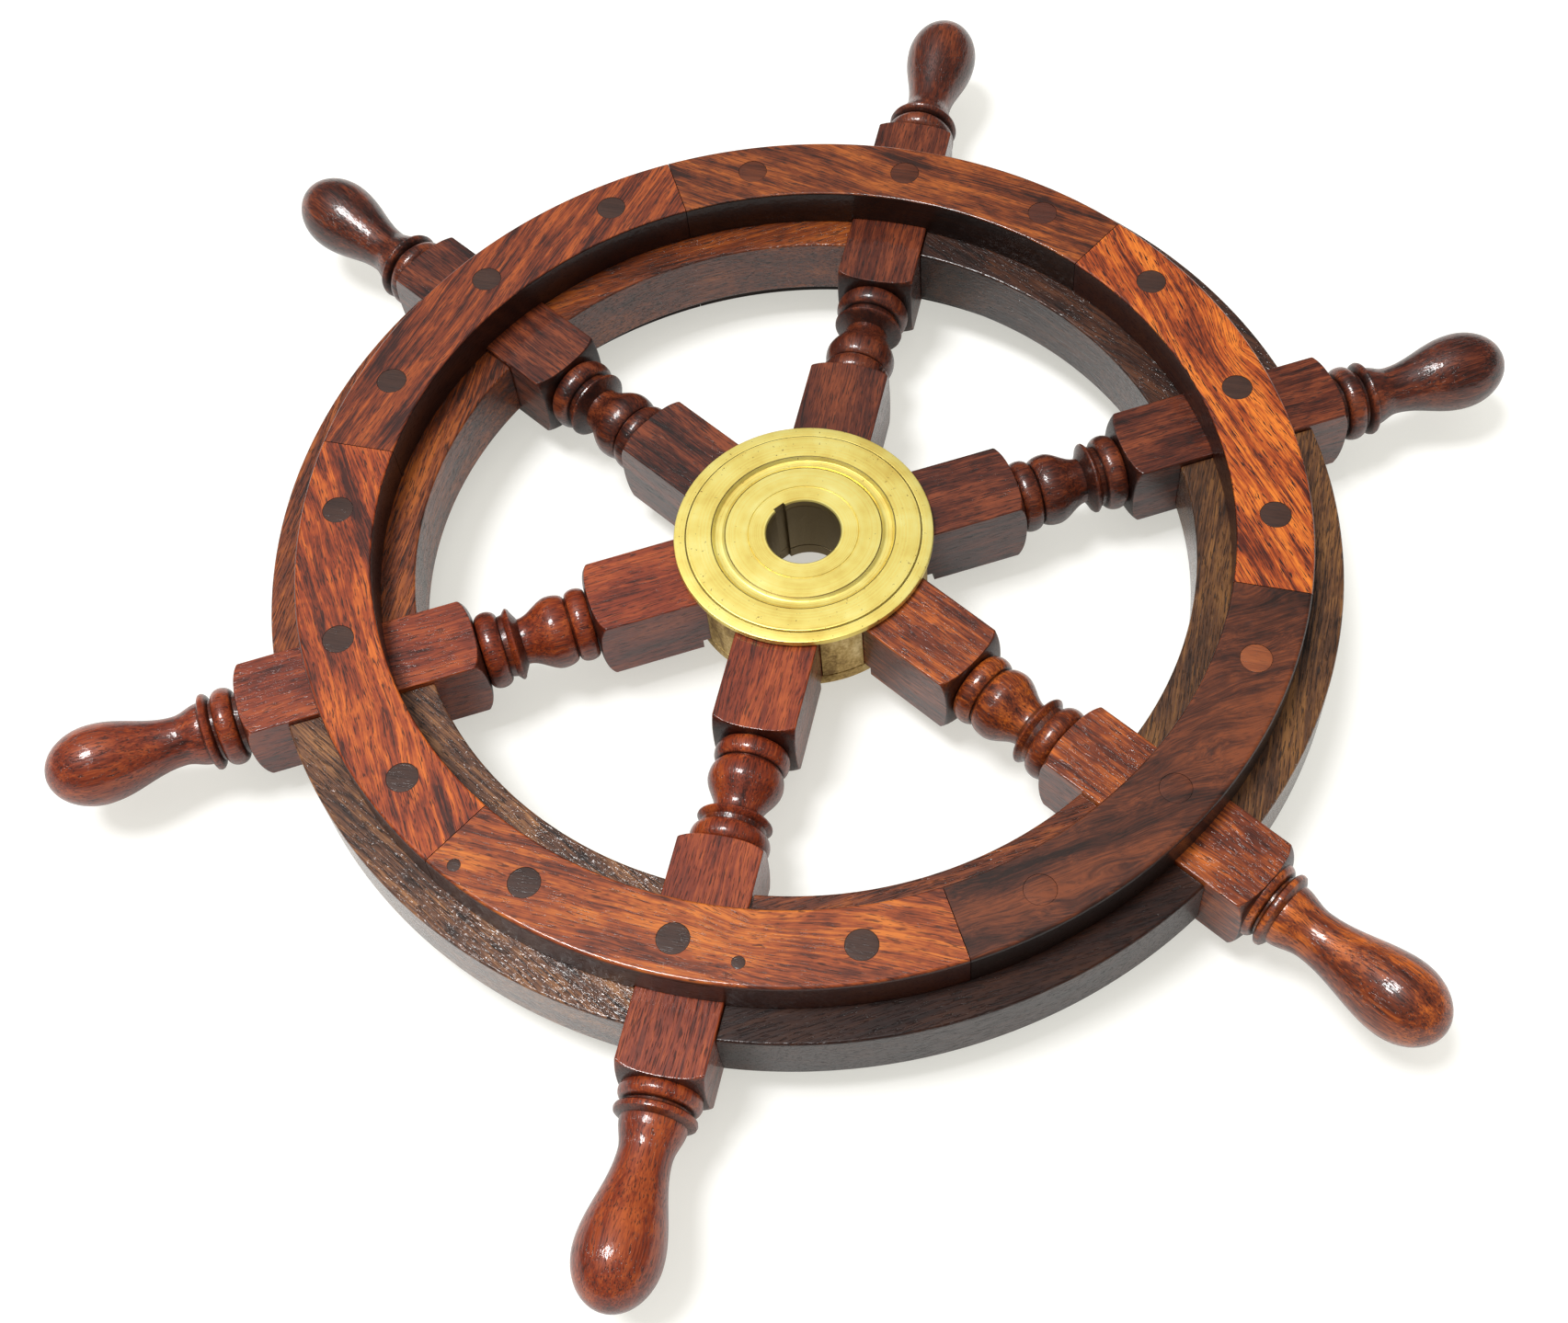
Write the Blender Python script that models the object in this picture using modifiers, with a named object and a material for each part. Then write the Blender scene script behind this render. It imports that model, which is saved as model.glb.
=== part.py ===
"""Six-spoke ship's steering wheel, 24 in across the handles, lying on its back ring: turned wooden spokes
held in a brass hub, felloes between them, a front and a back ring of six segments each, and pegs through the
rim.

World units are metres. The wheel's axis is +Z, z = 0 is the back ring's outer face, and +Z leaves the front
face. Every piece hangs on an empty at the middle of the rim's thickness, so the sizes below count from there,
in mm."""

import math

import bmesh
import bpy

MM = 0.001
GAP = 0.3
CLEAR = 5.0  # how far a cutter runs past the faces it opens

# Rim
RING_OUTER_R = 197.5
RING_INNER_R = 167.8
RING_THICK = 17.25
FELLOE_OUTER_R = 210.9
FELLOE_INNER_R = 154.4
FELLOE_THICK = 28.0
PEG_R = 5.8
PEG_CIRCLE_R = 182.8
PEG_PITCH = 20.0
# Degrees by which each peg misses even spacing, from peg 1 on: the rim was drilled by eye
PEG_DRIFT = [0.4, -1.3, -0.6, 0.0, 0.0, -0.1, 0.6, 0.4, 0.5]
PEG_DRIFT += [-1.1, -1.2, -0.5, -0.6, -0.7, -0.8, -0.2, -1.2, 0.1]
FILLER_R = 2.4
FILLER_DEPTH = 9.0
FILLERS = [("filler_plug_1", 188.2, 6.2), ("filler_plug_2", 191.8, -27.3)]

# Spokes: distances are measured along the spoke from the wheel's axis
BLOCK_HALF = 16.25
STOCK_R = 24.0
TENON_START = 24.5
TENON_HALF = 9.0
TENON_FOOT = 11.0
SHOULDER = 38.0
HUB_BLOCK_END = 84.0
RIM_BLOCK_START = 138.0
RIM_BLOCK_END = 223.0
ROOT_R = 12.2
HANDLE_NECK_R = 9.7
HANDLE_R = 15.8
HANDLE_NECK = 253.0
HANDLE_CREST = 285.0
TIP = 305.0

# Hub
PLATE_R = 51.2
PLATE_THICK = 3.8
DRUM_R = 48.4
BACK_THICK = 5.5
BORE_R = 14.8
KEYWAY_HALF = 2.5
KEYWAY_DEPTH = 2.3
KEYWAY_ANGLE = 141.0
SCREW_CIRCLE_R = 42.6
SCREW_R = 2.4
SCREW_HEAD_R = 4.6

RIM_HALF = FELLOE_THICK / 2 + RING_THICK
HUB_FOOT = -BLOCK_HALF - 0.5
BACK_TOP = HUB_FOOT + BACK_THICK
PLATE_FOOT = BLOCK_HALF + GAP
PLATE_TOP = PLATE_FOOT + PLATE_THICK
SCREW_TOP = BLOCK_HALF - 2.0
SCREW_FACE = HUB_FOOT + 0.3

HUB_STEPS = 40
RIM_STEPS = 54
SPOKE_STEPS = 16
PEG_STEPS = 12

COLOURS = {
    "spoke": ((0.17, 0.042, 0.022, 1.0), 0.28, 0.0),
    "felloe": ((0.11, 0.035, 0.020, 1.0), 0.30, 0.0),
    "ring": ((0.30, 0.085, 0.025, 1.0), 0.32, 0.0),
    "peg": ((0.075, 0.045, 0.032, 1.0), 0.45, 0.0),
    "brass": ((0.80, 0.58, 0.20, 1.0), 0.25, 1.0),
    "cast_brass": ((0.45, 0.35, 0.16, 1.0), 0.50, 1.0),
}


def clear_scene():
    for obj in list(bpy.data.objects):
        bpy.data.objects.remove(obj)


def new_collection(name):
    made = bpy.data.collections.new(name)
    bpy.context.scene.collection.children.link(made)
    return made


def new_material(name):
    colour, roughness, metallic = COLOURS[name]
    material = bpy.data.materials.new(name)
    material.use_nodes = True
    shader = material.node_tree.nodes["Principled BSDF"]
    shader.inputs["Base Color"].default_value = colour
    shader.inputs["Roughness"].default_value = roughness
    shader.inputs["Metallic"].default_value = metallic
    return material


clear_scene()
PARTS = new_collection("ship_steering_wheel")
CUTTERS = new_collection("cutters")
MATERIALS = {name: new_material(name) for name in COLOURS}
WHEEL = bpy.data.objects.new("wheel_middle", None)
WHEEL.location = (0.0, 0.0, RIM_HALF * MM)
PARTS.objects.link(WHEEL)


def place(name, mesh, turn_deg=0.0, at=(0.0, 0.0, 0.0), tilt_deg=(0.0, 0.0)):
    """A finished piece, turned about the wheel's axis after being tilted about X and Y."""
    obj = bpy.data.objects.new(name, mesh)
    PARTS.objects.link(obj)
    obj.parent = WHEEL
    obj.rotation_euler = [math.radians(a) for a in (*tilt_deg, turn_deg)]
    obj.location = [v * MM for v in at]
    return obj


def polar(radius, degrees):
    return radius * math.cos(math.radians(degrees)), radius * math.sin(math.radians(degrees))


def peg_deg(number, from_deg=0.0):
    """A peg's angle from a direction. There are three to a ring segment, the middle one through its spoke."""
    even = PEG_PITCH * number - 130
    return (even + PEG_DRIFT[(number - 1) % 18] - from_deg + 180) % 360 - 180


# Rough shapes, in a piece's own coordinates


def rough(name, bm):
    mesh = bpy.data.meshes.new(name)
    bm.to_mesh(mesh)
    bm.free()
    obj = bpy.data.objects.new(name, mesh)
    CUTTERS.objects.link(obj)
    obj.hide_render = True
    obj.display_type = "WIRE"
    return obj


def block(low, high, turn_deg=0.0):
    bm = bmesh.new()
    bmesh.ops.create_cube(bm, size=1.0)
    for vert in bm.verts:
        vert.co = [((a + b) / 2 + v * (b - a)) * MM for a, b, v in zip(low, high, vert.co)]
    obj = rough("block", bm)
    obj.rotation_euler.z = math.radians(turn_deg)
    return obj


def cylinder(radius, low, high, at=(0.0, 0.0)):
    bm = bmesh.new()
    size = {"radius1": radius * MM, "radius2": radius * MM, "depth": (high - low) * MM}
    bmesh.ops.create_cone(bm, cap_ends=True, segments=PEG_STEPS, **size)
    obj = rough("cylinder", bm)
    obj.location = (at[0] * MM, at[1] * MM, (low + high) / 2 * MM)
    return obj


def turned(profile, steps):
    """A Screw modifier round +Z on a profile of (radius, height) points, top to bottom down its outside."""
    bm = bmesh.new()
    verts = [bm.verts.new((r * MM, 0.0, z * MM)) for r, z in profile]
    closed = profile[0][0] > 0
    pairs = list(zip(verts, verts[1:])) + ([(verts[-1], verts[0])] if closed else [])
    for pair in pairs:
        bm.edges.new(pair)
    obj = rough("turned", bm)
    screw = obj.modifiers.new("lathe", "SCREW")
    screw.steps = steps
    screw.render_steps = steps
    screw.use_merge_vertices = True
    screw.merge_threshold = 0.00001
    return obj


def slab(outline, low, high):
    """A flat outline, extruded."""
    curve = bpy.data.curves.new("slab", "CURVE")
    curve.dimensions = "2D"
    curve.fill_mode = "BOTH"
    curve.extrude = (high - low) / 2 * MM
    line = curve.splines.new("POLY")
    line.points.add(len(outline) - 1)
    for point, (x, y) in zip(line.points, outline):
        point.co = (x * MM, y * MM, 0.0, 1.0)
    line.use_cyclic_u = True
    source = bpy.data.objects.new("slab", curve)
    CUTTERS.objects.link(source)
    source.location.z = (low + high) / 2 * MM
    bpy.context.view_layer.update()
    mesh = bpy.data.meshes.new_from_object(source.evaluated_get(bpy.context.evaluated_depsgraph_get()))
    bm = bmesh.new()
    bm.from_mesh(mesh)
    bmesh.ops.remove_doubles(bm, verts=bm.verts, dist=0.000001)
    bmesh.ops.transform(bm, matrix=source.matrix_world, verts=bm.verts)
    bmesh.ops.recalc_face_normals(bm, faces=bm.faces)
    bpy.data.objects.remove(source)
    return rough("slab", bm)


def combine(obj, operation, others):
    for other in others:
        modifier = obj.modifiers.new(operation.lower(), "BOOLEAN")
        modifier.operation = operation
        modifier.solver = "EXACT"
        modifier.object = other


def finish(name, obj, material):
    """The mesh that the modifiers leave, with its material. The rough shapes are removed once it is made."""
    bpy.context.view_layer.update()
    graph = bpy.context.evaluated_depsgraph_get()
    mesh = bpy.data.meshes.new_from_object(obj.evaluated_get(graph))
    mesh.transform(obj.matrix_world)
    mesh.name = name
    mesh.materials.clear()
    mesh.materials.append(MATERIALS[material])
    mesh.shade_smooth()
    mesh.set_sharp_from_angle(angle=math.radians(30))
    for used in list(CUTTERS.objects):
        bpy.data.objects.remove(used)
    return mesh


# Spokes


def bead(start, end, root, crest, steps=4):
    """A half-round ridge between two roots."""
    middle, half = (start + end) / 2, (end - start) / 2
    turns = [math.pi * i / steps for i in range(steps + 1)]
    return [(root + (crest - root) * math.sin(t), middle - half * math.cos(t)) for t in turns]


def swell(start, end, first, last, steps=4):
    """A smooth S from one radius to another, level at both ends."""
    turns = [i / steps for i in range(1, steps + 1)]
    rise = last - first
    return [(first + rise * (1 - math.cos(math.pi * t)) / 2, start + (end - start) * t) for t in turns]


def round_over(start, end, first, last, steps=3):
    """A quarter-ellipse that leaves the first radius level and meets the last one square."""
    turns = [math.pi / 2 * i / steps for i in range(steps + 1)]
    return [(last + (first - last) * math.cos(t), start + (end - start) * math.sin(t)) for t in turns]


def baluster():
    """From the hub block to the rim block: bead, vase, fillet and bead."""
    vase = round_over(103.5, 97.4, 14.6, 11.9, 2)[::-1] + swell(103.5, 117.0, 14.6, 9.2)
    fillet = [(13.8, 119.4), (14.5, 120.6), (12.6, 122.4)]
    return bead(88.8, 97.0, ROOT_R, 14.7) + vase + fillet + bead(124.4, 133.4, ROOT_R, 15.4)


def handle():
    """Outside the rim: bead, fillet, flared neck and a rounded grip."""
    fillet = [(12.4, 236.2), (14.4, 238.4), (14.8, 239.6), (12.8, 241.6)]
    neck = swell(241.6, HANDLE_NECK, 12.8, HANDLE_NECK_R, 3)
    grip = swell(HANDLE_NECK, HANDLE_CREST, HANDLE_NECK_R, HANDLE_R, 5)
    end = round_over(HANDLE_CREST, TIP, HANDLE_R, 0.0, 5)[1:]
    return bead(227.6, 235.4, ROOT_R, 15.4) + fillet + neck + grip + end


def spoke_mesh(drilled_deg):
    """Turned along +Z from square stock, which is left square in the hub and through the rim."""
    pommel = 4.4
    profile = [(0.0, TENON_START), (STOCK_R, TENON_START)]
    profile += round_over(HUB_BLOCK_END, HUB_BLOCK_END + pommel, STOCK_R, ROOT_R)
    profile += baluster()
    profile += round_over(RIM_BLOCK_START, RIM_BLOCK_START - pommel, STOCK_R, ROOT_R)[::-1]
    profile += round_over(RIM_BLOCK_END, RIM_BLOCK_END + pommel, STOCK_R, ROOT_R)
    profile += handle()
    obj = turned(profile[::-1], SPOKE_STEPS)
    wide = BLOCK_HALF
    past = BLOCK_HALF + CLEAR
    combine(obj, "INTERSECT", [block((-wide, -wide, 0), (wide, wide, TIP + CLEAR))])
    # +X here is the wheel's back
    right_cheek = block((-past, TENON_HALF, 0), (past, past, SHOULDER + GAP))
    left_cheek = block((-past, -past, 0), (past, -TENON_HALF, SHOULDER + GAP))
    foot = block((TENON_FOOT, -past, 0), (past, past, DRUM_R + GAP))
    peg_hole = cylinder(PEG_R + GAP, -past, past)
    peg_hole.rotation_euler.y = math.radians(90)
    along, aside = polar(PEG_CIRCLE_R * MM, drilled_deg)
    peg_hole.location = (0.0, aside, along)
    combine(obj, "DIFFERENCE", [right_cheek, left_cheek, foot, peg_hole])
    return finish("spoke", obj, "spoke")


# Rim pieces lie about +X


def rim_peg_hole(degrees):
    return cylinder(PEG_R + GAP, -RIM_HALF - CLEAR, RIM_HALF + CLEAR, polar(PEG_CIRCLE_R, degrees))


def wedge(apex, low, high):
    """Sixty degrees of the wheel, its sides running out from a point on +X."""
    reach = 2 * FELLOE_OUTER_R
    sides = [(apex + x, y) for x, y in (polar(reach, -30), polar(reach, 30))]
    return slab([(apex, 0.0), *sides], low, high)


def felloe_mesh(drilled_deg):
    low, high = -FELLOE_THICK / 2 + GAP / 2, FELLOE_THICK / 2 - GAP / 2
    outer_face = [(FELLOE_OUTER_R, high), (FELLOE_OUTER_R, low)]
    inner_face = [(FELLOE_INNER_R, low), (FELLOE_INNER_R, high)]
    obj = turned(outer_face + inner_face, RIM_STEPS)
    clear_of_spokes = 2 * (BLOCK_HALF + GAP)
    combine(obj, "INTERSECT", [wedge(clear_of_spokes, low - CLEAR, high + CLEAR)])
    combine(obj, "DIFFERENCE", [rim_peg_hole(a) for a in drilled_deg])
    return finish("felloe", obj, "felloe")


def ring_segment_mesh(drilled_deg, fillers=()):
    """A front segment: eased at the face, channelled for its spoke and drilled for three pegs."""
    low, high = FELLOE_THICK / 2 + GAP / 2, RIM_HALF
    outer_edge = [(RING_OUTER_R - 1.6, high), (RING_OUTER_R - 0.5, high - 0.5), (RING_OUTER_R, high - 1.6)]
    inner_edge = [(RING_INNER_R, high - 1.0), (RING_INNER_R + 1.0, high)]
    obj = turned(outer_edge + [(RING_OUTER_R, low), (RING_INNER_R, low)] + inner_edge, RIM_STEPS)
    combine(obj, "INTERSECT", [wedge(GAP, low - CLEAR, high + CLEAR)])
    reach = BLOCK_HALF + GAP
    channel = block((RING_INNER_R - CLEAR, -reach, 0), (RING_OUTER_R + CLEAR, reach, reach))
    peg_holes = [rim_peg_hole(a) for a in drilled_deg]
    depth = high - FILLER_DEPTH - GAP
    filler_holes = [cylinder(FILLER_R + GAP, depth, high + CLEAR, polar(r, a)) for _, r, a in fillers]
    combine(obj, "DIFFERENCE", [channel, *peg_holes, *filler_holes])
    return finish("ring_segment", obj, "ring")


def peg_mesh():
    return finish("peg", cylinder(PEG_R, -RIM_HALF + GAP, RIM_HALF), "peg")


def filler_mesh():
    return finish("filler", cylinder(FILLER_R, RIM_HALF - FILLER_DEPTH, RIM_HALF), "peg")


# Hub


def keyway():
    low = (BORE_R - CLEAR, -KEYWAY_HALF, HUB_FOOT - CLEAR)
    return block(low, (BORE_R + KEYWAY_DEPTH, KEYWAY_HALF, PLATE_TOP + CLEAR), KEYWAY_ANGLE)


def screw_profile(grow=0.0):
    """A countersunk screw, head down: a plain shank, then the head's cone down to its face."""
    top, radius = SCREW_TOP + grow, SCREW_R + grow
    neck = SCREW_FACE + SCREW_HEAD_R - SCREW_R
    return [(0.0, top), (radius, top), (radius, neck), (SCREW_HEAD_R + grow, SCREW_FACE)]


def screw_holes():
    """The screw's own shape grown by the gap, with the countersink left open."""
    holes = []
    for k in range(6):
        foot = HUB_FOOT - CLEAR
        hole = turned([*screw_profile(GAP), (SCREW_HEAD_R + GAP, foot), (0.0, foot)], PEG_STEPS)
        hole.location = [v * MM for v in (*polar(SCREW_CIRCLE_R, 60 * k), 0.0)]
        holes.append(hole)
    return holes


def plate_mesh():
    """The front plate: stepped edge, fine grooves, a recessed ring and a flat boss round the bore."""
    top = PLATE_TOP
    edge = [(46.1, top), (46.5, top - 0.8), (46.9, top - 0.45)]
    edge += [(PLATE_R - 0.5, top - 0.8), (PLATE_R, top - 1.3)]
    under = [(PLATE_R, PLATE_FOOT), (BORE_R, PLATE_FOOT)]
    boss = [(BORE_R, top - 0.9), (BORE_R + 0.4, top - 0.5), (30.6, top - 0.5)]
    recess = [(31.2, top - 1.1), (33.0, top - 1.5), (35.4, top - 1.5), (36.2, top)]
    obj = turned(edge + under + boss + recess, HUB_STEPS)
    combine(obj, "DIFFERENCE", [keyway()])
    return finish("hub_front_plate", obj, "brass")


def drum_mesh():
    """The wall between the plates, with a pocket for each spoke's block and a slot for its tenon."""
    low, high = BACK_TOP + GAP, BLOCK_HALF
    obj = turned([(DRUM_R, high), (DRUM_R, low), (BORE_R, low), (BORE_R, high)], HUB_STEPS)
    wide, narrow = BLOCK_HALF + GAP, TENON_HALF + GAP
    sockets = []
    for k in range(6):
        turn_deg = 30 + 60 * k
        under, over = low - CLEAR, high + CLEAR
        pocket_end, slot_end = DRUM_R + CLEAR, SHOULDER + CLEAR
        sockets.append(block((SHOULDER, -wide, under), (pocket_end, wide, over), turn_deg))
        sockets.append(block((TENON_START - GAP, -narrow, under), (slot_end, narrow, over), turn_deg))
    combine(obj, "DIFFERENCE", [*sockets, keyway(), *screw_holes()])
    return finish("hub_drum", obj, "cast_brass")


def back_plate_mesh():
    low, high = HUB_FOOT, BACK_TOP
    obj = turned([(DRUM_R, high), (DRUM_R, low), (BORE_R, low), (BORE_R, high)], HUB_STEPS)
    combine(obj, "DIFFERENCE", [keyway(), *screw_holes()])
    return finish("hub_back_plate", obj, "cast_brass")


def screw_mesh():
    obj = turned([*screw_profile(), (0.0, SCREW_FACE)], PEG_STEPS)
    end = SCREW_HEAD_R + CLEAR
    slot = block((-0.6, -end, SCREW_FACE - CLEAR), (0.6, end, SCREW_FACE + 1.0))
    combine(obj, "DIFFERENCE", [slot])
    return finish("hub_screw", obj, "cast_brass")


def place_sector(number):
    """One spoke with its ring segments, the felloe that follows it and a hub screw."""
    turn_deg = 60 * number - 150
    middle = 3 * number - 1
    in_segment = [peg_deg(n, turn_deg) for n in (middle - 1, middle, middle + 1)]
    in_felloe = [peg_deg(n, turn_deg + 30) for n in (middle + 1, middle + 2)]
    front = ring_segment_mesh(in_segment, FILLERS if number == 1 else ())
    back = ring_segment_mesh([-a for a in in_segment])
    place(f"spoke_{number}", spoke_mesh(in_segment[1]), turn_deg, tilt_deg=(0, 90))
    place(f"felloe_{number}", felloe_mesh(in_felloe), turn_deg + 30)
    place(f"front_ring_segment_{number}", front, turn_deg)
    place(f"back_ring_segment_{number}", back, turn_deg, tilt_deg=(180, 0))
    place(f"hub_screw_{number}", screw_mesh(), at=(*polar(SCREW_CIRCLE_R, turn_deg + 30), 0))


def build():
    for number in range(1, 7):
        place_sector(number)
    peg, filler = peg_mesh(), filler_mesh()
    for n in range(1, 19):
        place(f"rim_peg_{n:02d}", peg, at=(*polar(PEG_CIRCLE_R, peg_deg(n)), 0))
    for name, radius, degrees in FILLERS:
        place(name, filler, at=(*polar(radius, degrees - 90), 0))
    place("hub_front_plate", plate_mesh())
    place("hub_drum", drum_mesh())
    place("hub_back_plate", back_plate_mesh())
    bpy.data.collections.remove(CUTTERS)


build()
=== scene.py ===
"""Looks for the ship's wheel: finely turned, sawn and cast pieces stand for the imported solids, with lacquered
wood and lathe-turned brass, on a white table in soft light.

Pieces are shaped in millimetres, in a frame of their own: x runs out from the wheel's axis through the middle
of the piece, y round the rim and z up, with z = 0 at the middle of the rim's thickness."""

import math

import bmesh
import bpy
from mathutils import Matrix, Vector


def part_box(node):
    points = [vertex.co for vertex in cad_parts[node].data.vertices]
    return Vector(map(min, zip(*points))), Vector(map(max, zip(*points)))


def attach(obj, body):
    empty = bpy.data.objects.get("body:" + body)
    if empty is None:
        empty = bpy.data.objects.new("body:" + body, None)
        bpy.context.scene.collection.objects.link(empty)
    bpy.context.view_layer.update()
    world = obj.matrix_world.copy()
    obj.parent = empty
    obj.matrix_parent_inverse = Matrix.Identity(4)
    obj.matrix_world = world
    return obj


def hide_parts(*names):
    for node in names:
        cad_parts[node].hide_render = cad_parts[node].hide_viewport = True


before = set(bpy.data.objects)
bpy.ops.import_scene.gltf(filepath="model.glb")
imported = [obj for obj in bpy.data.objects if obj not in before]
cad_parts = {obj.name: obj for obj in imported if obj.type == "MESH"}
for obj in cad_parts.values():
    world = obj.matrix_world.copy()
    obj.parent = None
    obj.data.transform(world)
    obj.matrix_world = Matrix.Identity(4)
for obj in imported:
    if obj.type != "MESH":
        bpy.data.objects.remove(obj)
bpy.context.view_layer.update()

MM = 0.001
GAP = 0.3  # the room between pieces
PAST = 5.0  # how far a cutter goes on past what it cuts


# Sizes that the frame gives


def radii(node):
    """Nearest and furthest that a CAD node comes to the wheel's axis, in mm."""
    reach = [math.hypot(v.co.x, v.co.y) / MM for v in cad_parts[node].data.vertices]
    return min(reach), max(reach)


def heights(node, middle=0.0):
    low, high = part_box(node)
    return low.z / MM - middle, high.z / MM - middle


def half_width(node):
    low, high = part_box(node)
    return (high.x - low.x) / 2 / MM


def seen_from(turn_deg, node):
    """The middle of a CAD node, as (x, y) in mm in the frame of a piece turned by that much."""
    low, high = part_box(node)
    spot = Matrix.Rotation(math.radians(-turn_deg), 4, "Z") @ ((low + high) / 2 / MM)
    return spot.x, spot.y


def peg_name(number):
    """The CAD node of a peg, counted round the rim past the last one too."""
    return f"rim_peg_{(number - 1) % 18 + 1:02d}"


MIDDLE = sum(heights("felloe_1")) / 2
FELLOE_INNER, FELLOE_OUTER = radii("felloe_1")
FELLOE_LOW, FELLOE_HIGH = heights("felloe_1", MIDDLE)
RING_INNER, RING_OUTER = radii("front_ring_segment_1")
RING_LOW, RING_HIGH = heights("front_ring_segment_1", MIDDLE)
BORE, PLATE = radii("hub_front_plate")
PLATE_LOW, PLATE_HIGH = heights("hub_front_plate", MIDDLE)
DRUM = radii("hub_drum")[1]
DRUM_LOW, DRUM_HIGH = heights("hub_drum", MIDDLE)
BACK_LOW, BACK_HIGH = heights("hub_back_plate", MIDDLE)
BLOCK = heights("spoke_1", MIDDLE)[1]
TENON_START, TIP = radii("spoke_1")
PEG_LOW, PEG_HIGH = heights("rim_peg_01", MIDDLE)
FILLER_LOW = heights("filler_plug_1", MIDDLE)[0]
SCREW_LOW, SCREW_HIGH = heights("hub_screw_1", MIDDLE)

# Sizes along a spoke, from the wheel's axis
STOCK = 24.0  # half the diagonal of a block
BLOCK_SLACK = 0.05
BLOCK_EASE = 0.6
ROOT = 12.2
POMMEL = 6.6
CREASE = 0.5
SHOULDER = 38.0
TENON_HALF = 9.0
TENON_FOOT = 11.0
HUB_BLOCK_END = 82.0
RIM_BLOCK_START = 140.0
RIM_BLOCK_END = 221.0
FILLET = 238.0
FILLET_SWAY = 40.0  # how far from a fillet its neighbours move along with it
HANDLE_CREST = 285.0

PEG_RADIUS = half_width("rim_peg_01") + 0.15
PEG_HOLE = half_width("rim_peg_01") + GAP
FILLER_RADIUS = half_width("filler_plug_1")
FILLER_HOLE = FILLER_RADIUS + 0.1

# Radii on the front plate
EDGE_STEP = 46.6
RECESS_OUTER = 36.3
RECESS_INNER = 30.9
BOSS_LINE = 21.8

KEYWAY_HALF = 2.5
KEYWAY_DEPTH = 1.3
KEYWAY_TURN = 141.0
SCREW_CIRCLE = 42.6
SCREW_RADIUS = 2.4
SCREW_HEAD = 4.6
SLOT_WIDTH = 1.2
SLOT_DEPTH = 1.0

OUTLINE = 16
LATHE = 160


IN_PLACE = Matrix.Identity(4)


def polar(radius, degrees):
    return radius * math.cos(math.radians(degrees)), radius * math.sin(math.radians(degrees))


# Mesh building


def skin(name, rings):
    """Quads from ring to ring of points, with a face over each end."""
    bm = bmesh.new()
    loops = [[bm.verts.new(point) for point in ring] for ring in rings]
    count = len(loops[0])
    for near, far in zip(loops, loops[1:]):
        for i in range(count):
            j = (i + 1) % count
            bm.faces.new((near[i], near[j], far[j], far[i]))
    bm.faces.new(loops[0][::-1])
    bm.faces.new(loops[-1])
    return solid(name, bm)


def lathe(name, profile, steps=LATHE):
    """A closed profile of (radius, height) points spun round z."""
    bm = bmesh.new()
    loops = []
    for k in range(steps):
        x, y = polar(1.0, 360.0 * k / steps)
        loops.append([bm.verts.new((r * x, r * y, z)) for r, z in profile])
    count = len(profile)
    for k in range(steps):
        near, far = loops[k], loops[(k + 1) % steps]
        for i in range(count):
            j = (i + 1) % count
            bm.faces.new((near[i], near[j], far[j], far[i]))
    return solid(name, bm)


def solid(name, bm):
    """The finished mesh: doubled points merged, and every face turned outwards."""
    bmesh.ops.remove_doubles(bm, verts=bm.verts, dist=0.0005)
    bmesh.ops.dissolve_degenerate(bm, edges=bm.edges, dist=0.0005)
    bmesh.ops.recalc_face_normals(bm, faces=bm.faces)
    mesh = bpy.data.meshes.new(name)
    bm.to_mesh(mesh)
    bm.free()
    return mesh


def box(low, high, turn_deg=0.0):
    bm = bmesh.new()
    bmesh.ops.create_cube(bm, size=1.0)
    for vert in bm.verts:
        vert.co = [(a + b) / 2 + v * (b - a) for a, b, v in zip(low, high, vert.co)]
    mesh = bpy.data.meshes.new("box")
    bm.to_mesh(mesh)
    bm.free()
    mesh.transform(Matrix.Rotation(math.radians(turn_deg), 4, "Z"))
    return mesh


def rod(radius, low, high, at):
    bm = bmesh.new()
    size = {"radius1": radius, "radius2": radius, "depth": high - low}
    bmesh.ops.create_cone(bm, cap_ends=True, segments=64, **size)
    mesh = bpy.data.meshes.new("rod")
    bm.to_mesh(mesh)
    bm.free()
    mesh.transform(Matrix.Translation((*at, (low + high) / 2)))
    return mesh


def cut(mesh, cutters):
    """The mesh less its cutters."""
    objects = [bpy.data.objects.new("cut", m) for m in (mesh, *cutters)]
    for obj in objects:
        bpy.context.scene.collection.objects.link(obj)
    for cutter in objects[1:]:
        modifier = objects[0].modifiers.new("cut", "BOOLEAN")
        modifier.solver = "EXACT"
        modifier.object = cutter
    graph = bpy.context.evaluated_depsgraph_get()
    result = bpy.data.meshes.new_from_object(objects[0].evaluated_get(graph))
    for obj in objects:
        bpy.data.objects.remove(obj)
    return result


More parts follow.
